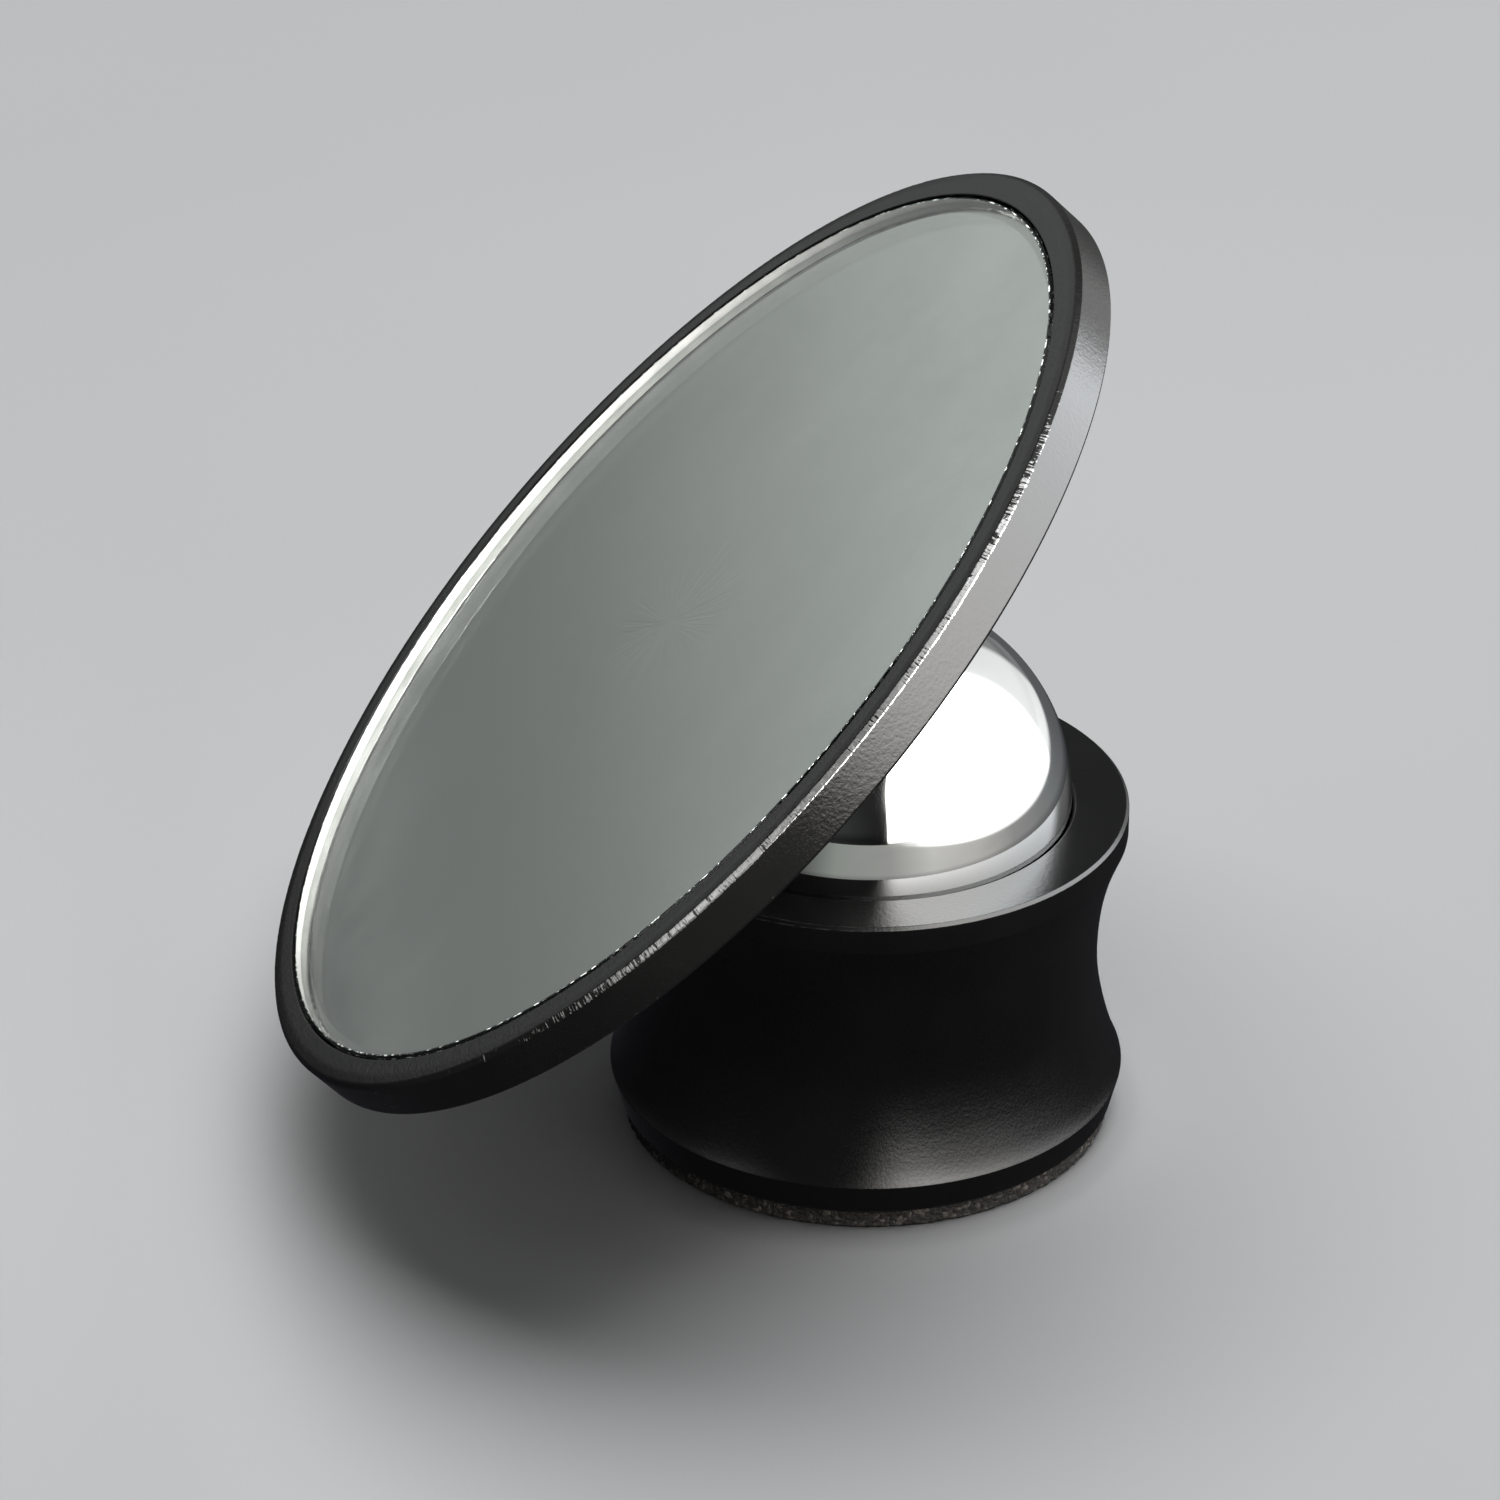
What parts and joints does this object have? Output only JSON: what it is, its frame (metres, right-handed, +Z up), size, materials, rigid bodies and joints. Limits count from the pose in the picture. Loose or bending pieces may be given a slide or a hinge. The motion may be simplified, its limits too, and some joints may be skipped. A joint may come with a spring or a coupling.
{
  "type": "adjustable table mirror",
  "caption": "Small round glass mirror in a thin black dish, held by a magnet on a chromed ball that is seated in a waisted black base with a non-slip pad.",
  "frame": {"origin": "centre of the pad's flat underside", "axes": "+Z up along the base's axis; at rest the mirror faces -Y and upwards at 45 degrees"},
  "size_m": [0.0687, 0.0527, 0.0585],
  "materials": {
    "anodised_base": "bead-blasted and black anodised, satin",
    "anodised_dish": "bead-blasted and black anodised, satin",
    "pad": "grainy brown-grey non-slip sheet",
    "adhesive": "double-sided tape, matt",
    "ball_chrome": "mirror polished chrome",
    "screw_steel": "zinc plated",
    "liner": "moulded polymer",
    "cup_black": "black coated steel, satin",
    "magnet_nickel": "nickel plated",
    "silvering": "silver layer behind the glass",
    "glass": "float glass, ground edge"
  },
  "bodies": {
    "base": {"base_body": "anodised_base", "base_pad": "pad", "pad_adhesive": "adhesive"},
    "ball": {"ball": "ball_chrome", "ball_screw": "screw_steel", "ball_washer": "screw_steel"},
    "liner": {"socket_liner": "liner"},
    "cup": {"magnet_cup": "cup_black", "head_magnet": "magnet_nickel"},
    "mirror": {"mirror_dish": "anodised_dish", "mirror_adhesive": "adhesive", "mirror_silvering": "silvering", "mirror_glass": "glass", "cup_screw": "screw_steel"}
  },
  "joints": [
    {"name": "swivel", "type": "hinge", "parent": "base", "child": "ball", "pos_m": [0, 0, 0.0218], "axis": [0, 0, 1], "continuous": true},
    {"name": "tilt", "type": "hinge", "parent": "ball", "child": "liner", "pos_m": [0, 0, 0.0218], "axis": [1, 0, 0], "range_deg": [-103, 13]},
    {"name": "pull_off", "type": "slide", "parent": "liner", "child": "cup", "axis": [0, -0.7071, 0.7071], "range_m": [0, 0.02]},
    {"name": "spin", "type": "hinge", "parent": "cup", "child": "mirror", "pos_m": [0, 0, 0.0218], "axis": [0, -0.7071, 0.7071], "continuous": true}
  ]
}
